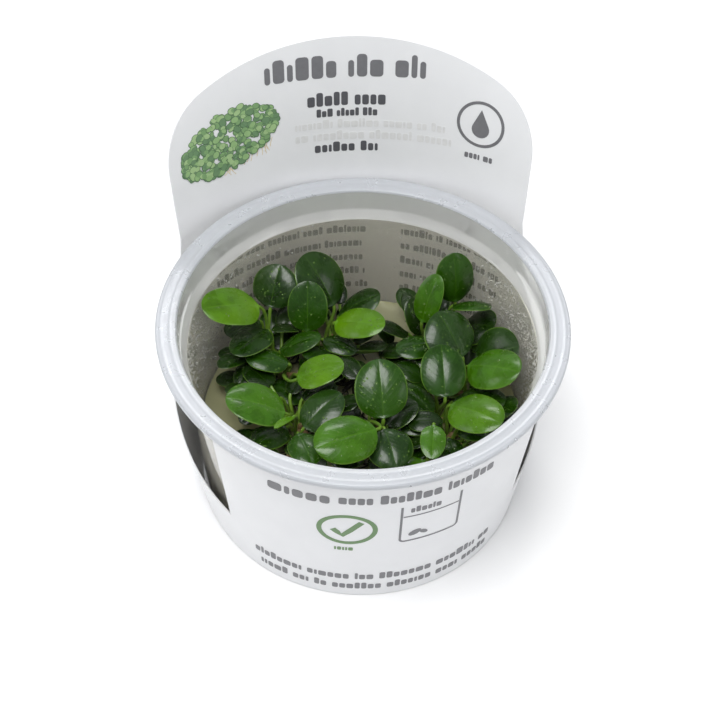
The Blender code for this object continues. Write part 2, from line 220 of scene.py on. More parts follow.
class Shape:
    """Points in millimetres and faces, gathered into one mesh."""

    def __init__(self):
        self.points = []
        self.faces = []
        self.slots = []
        self.maps = []

    def add(self, points, faces, slot=0, maps=None):
        first = len(self.points)
        self.points.extend(points)
        self.faces.extend([tuple(first + corner for corner in face) for face in faces])
        self.slots.extend([slot] * len(faces))
        self.maps.extend(maps or [(0.0, 0.0)] * len(points))

    def rings(self, loops, slot=0, maps=None, cap_start=True, cap_end=True):
        """A skin over closed rings of equal size, capped at its ends."""
        count = len(loops[0])
        faces = []
        for ring in range(len(loops) - 1):
            for side in range(count):
                after = (side + 1) % count
                faces.append((ring * count + side, ring * count + after,
                              (ring + 1) * count + after, (ring + 1) * count + side))
        if cap_start:
            faces.append(tuple(range(count - 1, -1, -1)))
        if cap_end:
            last = (len(loops) - 1) * count
            faces.append(tuple(range(last, last + count)))
        points = [point for loop in loops for point in loop]
        self.add(points, faces, slot, maps)

    def make(self, name, materials, slot, sharp=40.0):
        """The finished object, which rides on the part's one body."""
        mesh = bpy.data.meshes.new(name)
        mesh.from_pydata([Vector(point) * MM for point in self.points], [], self.faces)
        bm = bmesh.new()
        bm.from_mesh(mesh)
        bmesh.ops.recalc_face_normals(bm, faces=bm.faces)
        bm.to_mesh(mesh)
        bm.free()
        layer = mesh.uv_layers.new(name="UVMap")
        for loop in mesh.loops:
            layer.data[loop.index].uv = self.maps[loop.vertex_index]
        for surface in materials:
            mesh.materials.append(surface)
        mesh.polygons.foreach_set("material_index", self.slots)
        mesh.shade_smooth()
        mesh.set_sharp_from_angle(angle=radians(sharp))
        obj = bpy.data.objects.new(name, mesh)
        bpy.context.scene.collection.objects.link(obj)
        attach(obj, BODY)
        return obj


def rounded(profile, radius):
    """A profile of (radius, height) points with its inner corners eased by short curves."""
    points = [Vector(point) for point in profile]
    eased = [points[0]]
    for before, corner, after in zip(points, points[1:], points[2:]):
        reach = min(radius, 0.45 * (corner - before).length, 0.45 * (after - corner).length)
        start = corner + (before - corner).normalized() * reach
        end = corner + (after - corner).normalized() * reach
        for step in range(EASE_STEPS + 1):
            share = step / EASE_STEPS
            eased.append(start.lerp(corner, share).lerp(corner.lerp(end, share), share))
    return eased + [points[-1]]


def turned(name, profile, materials, slot, segments, slot_of=None):
    """Turn a closed profile that starts and ends on the axis."""
    shape = Shape()
    rings = []
    for radius, height in profile:
        first = len(shape.points)
        shape.add([(radius * cos(turn), radius * sin(turn), height)
                   for turn in turns(segments if radius > 0 else 1)], [])
        rings.append(range(first, len(shape.points)))
    for (lower, upper), (start, end) in zip(zip(rings, rings[1:]), zip(profile, profile[1:])):
        kind = slot_of((start + end) * 0.5) if slot_of else 0
        for step in range(segments):
            after = (step + 1) % segments
            corners = [lower[step % len(lower)], lower[after % len(lower)],
                       upper[after % len(upper)], upper[step % len(upper)]]
            shape.faces.append(tuple(dict.fromkeys(corners)))
            shape.slots.append(kind)
    return shape.make(name, materials, slot)


# ---- materials ----
# places of a Mix node's sockets when it mixes colours
MIX_FACTOR, MIX_FIRST, MIX_SECOND = 0, 6, 7
MIX_RESULT = 2


class Surface:
    """A Principled material and the nodes that drive it; object coordinates are in metres."""

    def __init__(self, name, colour, roughness, **sockets):
        self.material = bpy.data.materials.new(name)
        self.material.use_nodes = True
        self.tree = self.material.node_tree
        self.shader = self.tree.nodes["Principled BSDF"]
        self.drive(Base_Color=colour, Roughness=roughness, **sockets)

    def feed(self, socket, value):
        """Give a socket a number, a colour or another socket's value."""
        if isinstance(value, bpy.types.NodeSocket):
            self.tree.links.new(value, socket)
        elif isinstance(value, tuple):
            socket.default_value = (*value, 1.0)
        else:
            socket.default_value = value

    def drive(self, **sockets):
        """Feed the shader's sockets, which are named with _ for each space."""
        for socket, value in sockets.items():
            self.feed(self.shader.inputs[socket.replace("_", " ")], value)

    def node(self, kind, inputs, **values):
        """The outputs of a new node, once its properties and inputs are set."""
        made = self.tree.nodes.new(kind)
        for key, value in values.items():
            setattr(made, key, value)
        for key, value in inputs.items():
            self.feed(made.inputs[key], value)
        return made.outputs

    def noise(self, scale, detail=2.0):
        place = self.node("ShaderNodeTexCoord", {})["Object"]
        return self.node("ShaderNodeTexNoise", {"Vector": place, "Scale": scale,
                                                "Detail": detail})["Fac"]

    def math(self, operation, *values):
        return self.node("ShaderNodeMath", dict(enumerate(values)), operation=operation)["Value"]

    def spread(self, value, low, high, to_low, to_high):
        """Map a value from one range to another, clamped."""
        return self.node("ShaderNodeMapRange", {
            "Value": value, "From Min": low, "From Max": high, "To Min": to_low,
            "To Max": to_high})["Result"]

    def mix(self, factor, first, second):
        """A colour between two colours or sockets."""
        inputs = {MIX_FACTOR: factor, MIX_FIRST: first, MIX_SECOND: second}
        return self.node("ShaderNodeMix", inputs, data_type="RGBA")[MIX_RESULT]

    def bump(self, height, strength, distance):
        """Fine relief from a height socket; the distance is in metres."""
        inputs = {"Height": height, "Strength": strength, "Distance": distance}
        self.drive(Normal=self.node("ShaderNodeBump", inputs)["Normal"])


def plastic_material(name, colour, transmission, smooth, rough):
    """Moulded polypropylene: clear or milky, with a faint uneven haze."""
    made = Surface(name, colour, smooth, IOR=1.49, Transmission_Weight=transmission)
    made.drive(Roughness=made.spread(made.noise(260.0, 3.0), 0.35, 0.7, smooth, rough))
    made.bump(made.noise(90.0, 1.0), 0.12, 0.0002)
    return made.material


def card_material():
    """Coated white card: a cool white with faint mottling and a satin coat."""
    made = Surface("coated_card", (0.78, 0.785, 0.80), 0.42, Coat_Weight=0.25,
                   Coat_Roughness=0.18)
    fibres = made.noise(2600.0, 3.0)
    made.drive(Base_Color=made.mix(made.noise(120.0, 4.0), (0.75, 0.755, 0.77),
                                   (0.81, 0.815, 0.83)),
               Roughness=made.spread(fibres, 0.3, 0.7, 0.34, 0.5))
    made.bump(fibres, 0.08, 0.00004)
    return made.material


def ink_material(name, colour):
    """Printing ink with slightly uneven cover."""
    made = Surface(name, colour, 0.4)
    worn = tuple(min(1.0, part * 1.25 + 0.01) for part in colour)
    cover = made.noise(900.0, 3.0)
    made.drive(Base_Color=made.mix(cover, colour, worn),
               Roughness=made.spread(cover, 0.3, 0.7, 0.32, 0.5))
    return made.material


def blade_material(tone):
    """Waxy leaf skin: a paler midrib and side veins, a fine light margin and mottled green."""
    colour, vein = TONES[tone]
    made = Surface("blade_" + tone, colour, 0.3, Coat_Weight=0.22, Coat_Roughness=0.12,
                   Specular_IOR_Level=0.26)
    pale = tuple(part + vein * (goal - part) for part, goal in zip(colour, (0.15, 0.33, 0.02)))
    deep = tuple(part * 0.55 for part in colour)
    warm = tuple(part * gain for part, gain in zip(colour, (1.45, 1.22, 1.0)))
    edge_green = (0.16, 0.30, 0.04)
    place = made.node("ShaderNodeTexCoord", {})["UV"]
    split = made.node("ShaderNodeSeparateXYZ", {"Vector": place})
    across = made.math("ABSOLUTE", made.math("SUBTRACT", split["X"], 0.5))
    slant = made.math("SUBTRACT", made.math("MULTIPLY", split["Y"], 60.0),
                      made.math("MULTIPLY", across, 56.0))
    mottle = made.noise(330.0, 3.0)
    patches = made.spread(made.noise(90.0, 1.0), 0.4, 0.75, 0.0, 0.8)
    veins = made.spread(made.math("SINE", slant), 0.72, 1.0, 0.0, 0.12)
    midrib = made.spread(across, 0.004, 0.022, 0.45, 0.0)
    margin = made.spread(across, 0.47, 0.5, 0.0, 0.6)
    skin = made.mix(made.spread(mottle, 0.3, 0.7, 0.0, 1.0), deep, colour)
    for cover, other in ((patches, warm), (veins, pale), (midrib, pale), (margin, edge_green)):
        skin = made.mix(cover, skin, other)
    made.drive(Base_Color=skin, Roughness=made.spread(mottle, 0.3, 0.7, 0.18, 0.36))
    made.bump(made.math("ADD", made.math("MULTIPLY", veins, 2.0), made.noise(800.0, 3.0)),
              0.34, 0.00016)
    return made.material


def organic_material(name, colour, other, roughness, scale, relief):
    """Skin of stalks, rhizomes, sheaths and roots: two colours in streaks with fine relief."""
    made = Surface(name, colour, roughness)
    pattern = made.noise(scale, 4.0)
    made.drive(Base_Color=made.mix(made.spread(pattern, 0.35, 0.65, 0.0, 1.0), colour, other))
    made.bump(pattern, 0.4, relief)
    return made.material


def gel_material():
    """Cloudy beige agar, see-through near its surface."""
    made = Surface("agar_gel", (0.52, 0.52, 0.31), 0.12, IOR=1.34, Transmission_Weight=0.35)
    cloud = made.noise(70.0, 3.0)
    made.drive(Base_Color=made.mix(cloud, (0.30, 0.305, 0.16), (0.50, 0.49, 0.29)),
               Roughness=made.spread(cloud, 0.3, 0.7, 0.08, 0.22))
    made.bump(made.noise(240.0, 2.0), 0.3, 0.0004)
    return made.material


def water_material(name, colour, transmission):
    """Water drops: clear on the wall; on the leaves a partly opaque green, which paints the light
    a drop gathers onto its blade.
    """
    made = Surface(name, colour, 0.0, IOR=1.33, Transmission_Weight=transmission)
    made.drive(Roughness=made.spread(made.noise(800.0), 0.3, 0.7, 0.0, 0.04))
    return made.material


# ---- cup and gel ----
def cup_inner_radius(height):
    """Inner radius of the tapered wall below the ledge."""
    share = (height - FLOOR) / (LEDGE_BOTTOM - FLOOR)
    return FLOOR_INNER_RADIUS + share * (LEDGE_INNER_RADIUS - FLOOR_INNER_RADIUS)


def make_cup(clear, band, milky):
    """Tapered wall on a foot ring, a stepped ledge and a flange with two sealing beads."""
    shoulder_outer = LEDGE_INNER_RADIUS + WALL
    band_outer = FLANGE_INNER_RADIUS + WALL
    skirt_bottom = CUP_HEIGHT - 1.7
    flange_bottom = CUP_HEIGHT - 1.0
    foot = 0.35
    bead_height = 0.12
    outside = [
        (0, foot),
        (BASE_RADIUS - 5.6, foot),
        (BASE_RADIUS - 5.2, 0),
        (BASE_RADIUS - 1.6, 0),
        (BASE_RADIUS - 0.4, 0.5),
        (BASE_RADIUS, 1.6),
        (shoulder_outer, LEDGE_BOTTOM - WALL),
        (band_outer - 0.4, LEDGE_TOP - WALL),
        (band_outer, LEDGE_TOP + 0.4),
        (band_outer, flange_bottom),
        (FLANGE_RADIUS - 0.9, flange_bottom),
        (FLANGE_RADIUS - 0.8, skirt_bottom),
        (FLANGE_RADIUS - 0.1, skirt_bottom),
        (FLANGE_RADIUS, CUP_HEIGHT - 0.5),
        (FLANGE_RADIUS - 0.35, CUP_HEIGHT - bead_height),
    ]
    for bead in (FLANGE_RADIUS - 1.3, FLANGE_INNER_RADIUS + 1.5):
        outside += [(bead + 0.5, CUP_HEIGHT - bead_height), (bead, CUP_HEIGHT),
                    (bead - 0.5, CUP_HEIGHT - bead_height)]
    inside = [
        (FLANGE_INNER_RADIUS + 0.3, CUP_HEIGHT - bead_height),
        (FLANGE_INNER_RADIUS, CUP_HEIGHT - 0.6),
        (FLANGE_INNER_RADIUS - 0.3, LEDGE_TOP),
        (LEDGE_INNER_RADIUS + 0.3, LEDGE_BOTTOM + 0.3),
        (LEDGE_INNER_RADIUS, LEDGE_BOTTOM),
        (cup_inner_radius(FLOOR + 1.4), FLOOR + 1.4),
        (FLOOR_INNER_RADIUS - 1.2, FLOOR),
        (0, FLOOR),
    ]

    def which(middle):
        """Which plastic a stretch of the profile has, from its middle (radius, height)."""
        if middle.y < LEDGE_BOTTOM:
            return 0
        return 2 if middle.y > CUP_HEIGHT - 2 and middle.x > FLANGE_INNER_RADIUS else 1

    cup = turned("cup_moulding", rounded(outside + inside, 0.5), (clear, band, milky),
                 "cup_plastic", 180, which)
    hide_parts("cup")


def make_gel(surface):
    """Disc of gel whose top creeps up the wall and dips and swells a little."""
    edge_top = GEL_TOP + GEL_MENISCUS
    top_radius = cup_inner_radius(edge_top) - GAP
    profile = rounded([
        (0, FLOOR + GAP),
        (FLOOR_INNER_RADIUS - 1.6, FLOOR + GAP),
        (cup_inner_radius(FLOOR + 1.7) - GAP, FLOOR + 1.7),
        (top_radius, edge_top),
    ], 0.8)
    rings = 22
    for ring in range(1, rings + 1):
        radius = top_radius * (1 - ring / rings)
        rim = exp(-(top_radius - radius) / 1.2)
        profile.append(Vector((radius, GEL_TOP + GEL_MENISCUS * rim)))
    gel = turned("gel_disc", profile, (surface,), "nutrient_gel", 120)
    for vertex in gel.data.vertices:
        x, y, z = vertex.co / MM
        if z > GEL_TOP - 0.1:
            calm = max(0.0, 1 - hypot(x, y) / top_radius)
            swell = sin(0.31 * x + 1.2) * sin(0.27 * y - 0.4)
            vertex.co.z += MM * 0.16 * swell * min(1.0, 5 * calm)
    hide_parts("gel")


# ---- card sleeve ----
def sleeve_radius(height):
    """Outside radius of the card where it wraps the cup as a cone."""
    return SLEEVE_RADIUS + SLEEVE_TAPER * height


def back_section(height):
    """Back distance and radius of the card's horizontal section behind the cup."""
    back = HEADER_BACK_AT_BASE + HEADER_LEAN * height
    radius = 1 / (HEADER_CURVE_AT_BASE - HEADER_UNCURL * height)
    return back, radius


def back_point(across, height):
    """Point of the card's back, at a distance across it from its centre line."""
    back, radius = back_section(height)
    turn = across / radius
    return Vector((-radius * sin(turn), back - radius * (1 - cos(turn)), height))


def side_point(side, share, height):
    """Point of the card beside a window: share 0 is the header's edge, 1 the front panel's.

    The side is 1 for the window at -X and -1 for the one at +X.
    """
    edge = back_point(side * HEADER_HALF_WIDTH, height)
    edge_angle = atan2(abs(edge.x), edge.y)
    front_angle = pi - radians(PANEL_LEFT if side > 0 else PANEL_RIGHT)
    angle = edge_angle + share * (front_angle - edge_angle)
    back, radius = back_section(height)
    centre = back - radius
    reach = sqrt(radius ** 2 - (centre * sin(angle)) ** 2)
    flared = centre * cos(angle) + reach
    ease = share * share * (3 - 2 * share)
    distance = flared + ease * (sleeve_radius(height) - flared)
    return Vector((-side * distance * sin(angle), distance * cos(angle), height))


def front_point(angle, height):
    """Point of the front panel; the angle is in degrees from the front, positive to +X."""
    turn = radians(angle)
    distance = sleeve_radius(height)
    return Vector((distance * sin(turn), -distance * cos(turn), height))


def window_sill(share):
    """Height of the card under a side window, from the header's edge (0) to the front (1)."""
    return BAND_TOP + (PANEL_TOP - BAND_TOP) * (1 - sqrt(1 - (1 - share) ** 2))


def header_top(across):
    """Height of the header's outline: an arch with a round corner at each end."""
    arch_centre = HEADER_TOP - HEADER_ARCH_RADIUS
    corner_across = HEADER_HALF_WIDTH - HEADER_CORNER_RADIUS
    between = HEADER_ARCH_RADIUS - HEADER_CORNER_RADIUS
    corner_centre = arch_centre + sqrt(between ** 2 - corner_across ** 2)
    touch = corner_across * HEADER_ARCH_RADIUS / between
    across = abs(across)
    if across <= touch:
        return arch_centre + sqrt(HEADER_ARCH_RADIUS ** 2 - across ** 2)
    reach = HEADER_CORNER_RADIUS ** 2 - (across - corner_across) ** 2
    return corner_centre + sqrt(max(reach, 0))


def make_sleeve(surface):
    """One card: low band, front panel, two side windows and the arched header."""
    low_rows = 8
    high_rows = 14
    across_steps = 40
    window_steps = 24
    panel_steps = 64

    def heights(middle, top):
        return ([middle * row / low_rows for row in range(low_rows + 1)]
                + [middle + (top - middle) * row / high_rows for row in range(1, high_rows + 1)])

    def header_column(across):
        return [back_point(across, height) for height in heights(PANEL_TOP, header_top(across))]

    def window_column(side, share):
        sill = window_sill(share)
        return [side_point(side, share, sill * row / low_rows) for row in range(low_rows + 1)]

    def panel_column(angle):
        return [front_point(angle, height) for height in heights(BAND_TOP, PANEL_TOP)]

    # the columns crowd together at the header's round corners
    spread_across = [HEADER_HALF_WIDTH * sin(0.5 * pi * step / across_steps)
                     for step in range(-across_steps, across_steps + 1)]
    columns = [header_column(across) for across in spread_across]
    columns += [window_column(1, step / window_steps) for step in range(1, window_steps)]
    columns += [panel_column(-PANEL_LEFT + (PANEL_LEFT + PANEL_RIGHT) * step / panel_steps)
                for step in range(panel_steps + 1)]
    columns += [window_column(-1, step / window_steps)
                for step in range(window_steps - 1, 0, -1)]
    shape = Shape()
    starts = []
    for column in columns:
        starts.append(len(shape.points))
        shape.add(column, [])
    for index, start in enumerate(starts):
        after = (index + 1) % len(starts)
        other = starts[after]
        for row in range(min(len(columns[index]), len(columns[after])) - 1):
            shape.faces.append((start + row, other + row, other + row + 1, start + row + 1))
            shape.slots.append(0)
    sleeve = shape.make("card_sleeve", (surface,), "printed_card")
    bm = bmesh.new()
    bm.from_mesh(sleeve.data)
    outward = sum(face.normal.dot(face.calc_center_median()) for face in bm.faces)
    if outward < 0:
        bmesh.ops.reverse_faces(bm, faces=bm.faces)
    bmesh.ops.solidify(bm, geom=list(bm.faces), thickness=CARD * MM)
    bmesh.ops.recalc_face_normals(bm, faces=bm.faces)
    bm.to_mesh(sleeve.data)
    bm.free()
    sleeve.data.shade_smooth()
    sleeve.data.set_sharp_from_angle(angle=radians(35))
    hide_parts("label_sleeve")


# ---- print on the card ----
# inks of the header; the panel has grey and green, and the inner face has one ink
GREY, BLACK, FAINT, LEAF_RIM, LEAF_FILL = range(5)
LEAF_FILLS = 4
ROOT_TAN = LEAF_FILL + LEAF_FILLS
GREEN = 1
PICTURE_LEAVES = 420
PICTURE_ROOTS = 16

# left, right, foot, height, letter width, seed and ink of each line of blocks
HEADER_LINES = (
    (-20.0, 19.5, 82.8, 6.0, 0.66, 330, GREY),
    (-9.8, 9.6, 75.2, 3.7, 0.62, 11, BLACK),
    (-7.6, 7.4, 72.2, 2.2, 0.62, 332, BLACK),
    (-8.2, 7.6, 62.2, 2.8, 0.75, 333, BLACK),
    (-13.0, 24.0, 69.0, 2.4, 0.7, 174, FAINT),
    (-13.0, 26.0, 65.6, 2.6, 0.7, 55, FAINT),
    (29.2, 36.6, 63.8, 1.9, 0.7, 16, GREY),
)
PANEL_LINES = (
    (-25.0, -10.5, 43.0, 4.2, 0.85, 181, GREY),
    (-8.8, 28.0, 43.6, 3.6, 0.62, 262, GREY),
    (-30.0, 32.0, 8.3, 3.0, 0.66, 23, GREY),
    (-28.5, 31.0, 3.4, 3.0, 0.66, 144, GREY),
    (-9.6, -3.6, 22.6, 1.9, 0.7, 25, GREEN),
    (7.2, 15.2, 38.2, 2.4, 0.62, 26, GREY),
)


def header_face(across, height):
    """Front face of the header or the card's inner face; across is positive to +X."""
    return back_point(-across, height)


def panel_face(across, height):
    """Outer face of the front panel; across is positive to +X."""
    return front_point(degrees(across / sleeve_radius(height)), height)


def lifted(face, across, height, lift):
    """Point a little above the visible face of the card, which for the header is its front."""
    step = 0.1
    along = face(across + step, height) - face(across - step, height)
    rise = face(across, height + step) - face(across, height - step)
    toward_front = along.cross(rise).normalized()
    depth = lift + (CARD if face is header_face else 0)
    return face(across, height) + toward_front * depth


class Print:
    """Thin patches of ink that follow a face of the card."""

    LOW = 0.015
    HIGH = 0.06
    LETTER_WIDTHS = (0.35, 0.62, 0.7, 0.7, 0.8, 0.95)
    LETTER_HEIGHTS = (0.74, 0.74, 0.74, 0.74, 1.0)
    LETTER_GAP = 0.17
    WORD_GAP = 0.55
    WORD_LENGTHS = range(2, 9)

    def __init__(self, face):
        self.face = face
        self.shape = Shape()

    def section(self, first, second):
        """Cross-section of the ink between two points of the face."""
        return [lifted(self.face, *point, lift)
                for point, lift in ((first, self.LOW), (first, self.HIGH), (second, self.HIGH),
                                    (second, self.LOW))]

    def bar(self, left, right, low, high, radius, ink):
        """A block with round corners."""
        radius = min(radius, 0.5 * (high - low), 0.5 * (right - left))
        ends = [radius * (1 - cos(0.5 * pi * step / 3)) for step in range(4)]
        inner = right - left - 2 * radius
        steps = max(1, ceil(inner / 1.5))
        places = [left + end for end in ends]
        places += [left + radius + inner * step / steps for step in range(1, steps)]
        places += [right - end for end in reversed(ends)]
        loops = []
        for across in places:
            short = max(0.0, radius - (across - left), radius - (right - across))
            cut = radius - sqrt(max(0.0, radius ** 2 - short ** 2))
            cut = min(cut, 0.5 * (high - low) - 0.02)
            loops.append(self.section((across, low + cut), (across, high - cut)))
        self.shape.rings(loops, ink)

    def words(self, left, right, low, height, weight, seed, ink):
        """A line of made-up words: rounded blocks of uneven width, with gaps for spaces."""
        draw = random.Random(seed)
        pitch = height * weight
        across = left
        while across < right - pitch:
            for _ in range(draw.choice(self.WORD_LENGTHS)):
                wide = pitch * draw.choice(self.LETTER_WIDTHS)
                if across + wide > right:
                    break
                tall = height * draw.choice(self.LETTER_HEIGHTS)
                self.bar(across, across + wide, low, low + tall, 0.22 * pitch, ink)
                across += wide + self.LETTER_GAP * pitch
            across += self.WORD_GAP * pitch

    def blob(self, outline, ink):
        """A small convex patch from its outline of (across, height) points."""
        count = len(outline)
        centre = (sum(point[0] for point in outline) / count,
                  sum(point[1] for point in outline) / count)
        points = [lifted(self.face, *point, lift) for lift in (self.LOW, self.HIGH)
                  for point in [*outline, centre]]
        faces = []
        upper = count + 1
        for side in range(count):
            after = (side + 1) % count
            faces += [(after, side, count), (upper + side, upper + after, upper + count),
                      (side, after, upper + after, upper + side)]
        self.shape.add(points, faces, ink)

    def stroke(self, path, width, ink, closed=False):
        """A line of even width along a path of (across, height) points."""
        loops = []
        count = len(path)
        for index, point in enumerate(path):
            before = Vector(path[(index - 1) % count] if closed or index else point)
            after = Vector(path[(index + 1) % count] if closed or index < count - 1 else point)
            along = (after - before).normalized()
            side = Vector((-along.y, along.x)) * (0.5 * width)
            loops.append(self.section(Vector(point) + side, Vector(point) - side))
        if closed:
            loops.append(loops[0])
        self.shape.rings(loops, ink, cap_start=not closed, cap_end=not closed)

    def make(self, name, inks):
        self.shape.make(name, inks, "printed_card", sharp=30)


def oval(across, height, half_long, half_wide, tilt=0, points=12):
    """Outline of a tilted oval."""
    turn = radians(tilt)
    outline = []
    for angle in turns(points):
        x = half_long * cos(angle)
        y = half_wide * sin(angle)
        outline.append((across + x * cos(turn) - y * sin(turn),
                        height + x * sin(turn) + y * cos(turn)))
    return outline


def print_plants(page):
    """A picture of a cushion of round leaves, each a dark rim under a lighter fill."""
    draw = random.Random(5)
    patches = []
    for _ in range(PICTURE_LEAVES):
        along = draw.uniform(-1, 1)
        over = draw.uniform(-1, 1) * sqrt(1 - along * along)
        across = -30.0 + 12.4 * along - 1.2 * over
        height = 70.9 + 3.4 * along + 7.2 * over
        patches.append((over + draw.uniform(-0.4, 0.4), across, height))
    for order, (over, across, height) in enumerate(sorted(patches, reverse=True)):
        size = draw.uniform(0.7, 1.15)
        wide = size * draw.uniform(0.7, 0.95)
        tilt = draw.uniform(-60, 60)
        page.LOW = Print.LOW + 0.0003 * order
        page.HIGH = page.LOW + 0.035
        page.blob(oval(across, height, size, wide, tilt), LEAF_RIM)
        page.HIGH = page.LOW + 0.042
        page.blob(oval(across, height + 0.06, size * 0.82, wide * 0.8, tilt),
                  LEAF_FILL + draw.randrange(LEAF_FILLS))
    page.LOW = Print.LOW
    page.HIGH = Print.HIGH
    for _ in range(PICTURE_ROOTS):
        across = draw.uniform(-31, -18.5)
        top = 64.6 + 0.35 * (across + 31)
        path = [(across, top), (across + draw.uniform(-0.6, 0.6), top - 1.4),
                (across + draw.uniform(-1, 1), top - draw.uniform(2.2, 3.6))]
        page.stroke(path, 0.16, ROOT_TAN)


def make_header_print(inks):
    """Lines of blocks, a round mark with a drop, and a picture of round leaves."""
    page = Print(header_face)
    for line in HEADER_LINES:
        page.words(*line)
    mark = 32.7
    page.stroke(oval(mark, 73.2, 5.6, 5.6, points=48), 0.75, GREY, closed=True)
    drop = [(mark, 77.0)]
    drop += [(mark + 2.2 * cos(angle), 71.9 + 2.2 * sin(angle))
             for angle in (radians(28 - 236 * step / 14) for step in range(15))]
    page.blob(drop, GREY)
    print_plants(page)
    page.make("header_print", inks)


def make_panel_print(inks):
    """Front panel: title line, a ringed tick, a tank pictogram and two lines of small print."""
    page = Print(panel_face)
    for line in PANEL_LINES:
        page.words(*line)
    page.stroke(oval(-6.8, 32.2, 6.3, 6.0, points=56), 1.15, GREEN, closed=True)
    page.stroke([(-10.0, 32.2), (-9.0, 31.0), (-7.8, 29.6), (-6.2, 31.8), (-3.6, 35.6)], 1.5,
                GREEN)
    left, right, bottom, top = 5.2, 19.2, 25.4, 41.0
    water = 36.6
    corner = 1.2
    bend = [(corner * (1 - cos(angle)), corner * (1 - sin(angle)))
            for angle in (radians(15 * step) for step in range(7))]
    path = [(left, top - 15.0 * step / 6) for step in range(6)]
    path += [(left + across, bottom + rise) for across, rise in bend[1:]]
    path += [(left + corner + (right - left - 2 * corner) * step / 8, bottom)
             for step in range(1, 8)]
    path += [(right - rise, bottom + across) for across, rise in bend]
    path += [(right, 26.8 + 14.2 * step / 6) for step in range(1, 7)]
    page.stroke(path, 0.55, GREY)
    page.stroke([(left + 0.4 + 13.2 * step / 8, water) for step in range(9)], 0.4, GREY)
    page.blob(oval(8.6, 28.8, 1.7, 1.0, 35), GREY)
    page.blob(oval(10.7, 28.4, 1.2, 0.7, 140), GREY)
    page.make("panel_print", inks)


def make_inner_print(inks):
    """Small print on the card's inner face, read through the cup's back wall."""
    page = Print(header_face)
    page.words(-38.0, -3.0, 42.2, 2.4, 0.8, 31, GREY)
    page.words(14.0, 35.0, 42.2, 2.4, 0.8, 41, GREY)
    for row in range(5):
        low = 37.6 - 4.5 * row
        page.words(-38.0, 6.0, low, 2.3, 0.66, 32 + row, GREY)
        page.words(14.0, 43.0, low, 2.3, 0.66, 42 + row, GREY)
    page.make("inner_print", inks)


# ---- leaves ----
# stations across a blade from its left edge to its right, close together at the midrib
HALF_STATIONS = (0.05, 0.12, 0.25, 0.4, 0.55, 0.7, 0.82, 0.92, 0.98)
STATIONS = ([-1.0] + [-place for place in reversed(HALF_STATIONS)] + [0.0]
            + list(HALF_STATIONS) + [1.0])
STALK_RINGS = 14
BLADE_RINGS = 30
# relief of a blade; its lobes and ripple are shares of its half width
LOBE = 0.045
RIPPLE = 0.02
GROOVE_DEPTH = 0.06
GROOVE_WIDTH = 0.35


def rhizome_point(key, share):
    """Point on a rhizome's centre line."""
    start, end = (Vector((*end_point, RHIZOME_HEIGHT)) for end_point in RHIZOMES[key])
    return start.lerp(end, share)


def rhizome_axis(key):
    """Direction of a rhizome."""
    return (rhizome_point(key, 1) - rhizome_point(key, 0)).normalized()


def blade_half_width(share):
    """Half width of a blade from base (0) to tip (1), where the widest place is 1."""
    return sqrt(1 - abs(2 * share ** BLADE_SKEW - 1) ** BLADE_FULLNESS)


def blade_axes(leaf):
    """Unit vectors along the blade, out of its upper side and towards its right edge."""
    heading, pitch, roll = (radians(angle) for angle in (leaf.heading, leaf.pitch, leaf.roll))
    along = Vector((cos(heading) * cos(pitch), sin(heading) * cos(pitch),
                    sin(pitch)))
    level = Vector((sin(heading), -cos(heading), 0))
    upright = level.cross(along)
    up = upright * cos(roll) + level * sin(roll)
    return along, up, along.cross(up)


def blade_centre(leaf, share):
    """Point of the arched midrib, and the midrib's direction there."""
    along, up, _ = blade_axes(leaf)
    radius = leaf.length / (2 * sin(BLADE_DROOP / 2))
    start = BLADE_DROOP / 2
    turn = start - BLADE_DROOP * share
    forward = radius * (sin(start) - sin(turn))
    rise = radius * (cos(turn) - cos(start))
    point = Vector(leaf.base) + along * forward + up * rise
    return point, along * cos(turn) + up * sin(turn)


def stalk_point(root, axis, leaf, share):
    """Point on the curved stalk from the rhizome to the blade, and its direction there."""
    base, arrival = blade_centre(leaf, 0)
    towards = (base - root).normalized()
    leave = (towards - axis * towards.dot(axis)).normalized()
    foot = root + leave * (RHIZOME_RADIUS + 0.1)
    reach = (base - foot).length
    points = (foot, foot + leave * (0.4 * reach), base - arrival * (0.25 * reach), base)
    rest = 1 - share
    weights = (rest ** 3, 3 * rest ** 2 * share, 3 * rest * share ** 2, share ** 3)
    place = sum((point * weight for point, weight in zip(points, weights)), Vector())
    slopes = (rest ** 2, 2 * rest * share, share ** 2)
    steps = (points[1] - points[0], points[2] - points[1], points[3] - points[2])
    direction = sum((step * slope for step, slope in zip(steps, slopes)), Vector())
    return place, direction.normalized()


def ring_axes(direction, side):
    """Right and up vectors of a ring that faces along a direction."""
    right = (side - direction * side.dot(direction)).normalized()
    return right, right.cross(direction)


def upper_skin(leaf, share, across, wave):
    """Height of a blade's upper skin over its midline: two lobes beside a sunken midrib.

    Across runs from -1 at the left edge to 1 at the right one.
    """
    phase, twist, fall = wave
    half_width = 0.5 * leaf.width * blade_half_width(share)
    edge = abs(across)
    middle = 1 - (2 * share - 1) ** 4
    lobe = LOBE * half_width * (1 - (2 * edge - 1) ** 2) * middle
    drop = fall * half_width * edge ** 2
    groove = GROOVE_DEPTH * exp(-(edge * half_width / GROOVE_WIDTH) ** 2) * middle
    turn = phase + 7.0 * share + (2.1 if across > 0 else 0)
    ripple = RIPPLE * half_width * edge ** 2 * sin(turn)
    return lobe - drop - groove + ripple + twist * half_width * across


def blade_point(leaf, share, across, wave):
    """Point on a blade's upper skin."""
    centre, direction = blade_centre(leaf, share)
    right, up = ring_axes(direction, blade_axes(leaf)[2])
    half_width = 0.5 * leaf.width * blade_half_width(share)
    return (centre + right * (across * half_width)
            + up * upper_skin(leaf, share, across, wave))


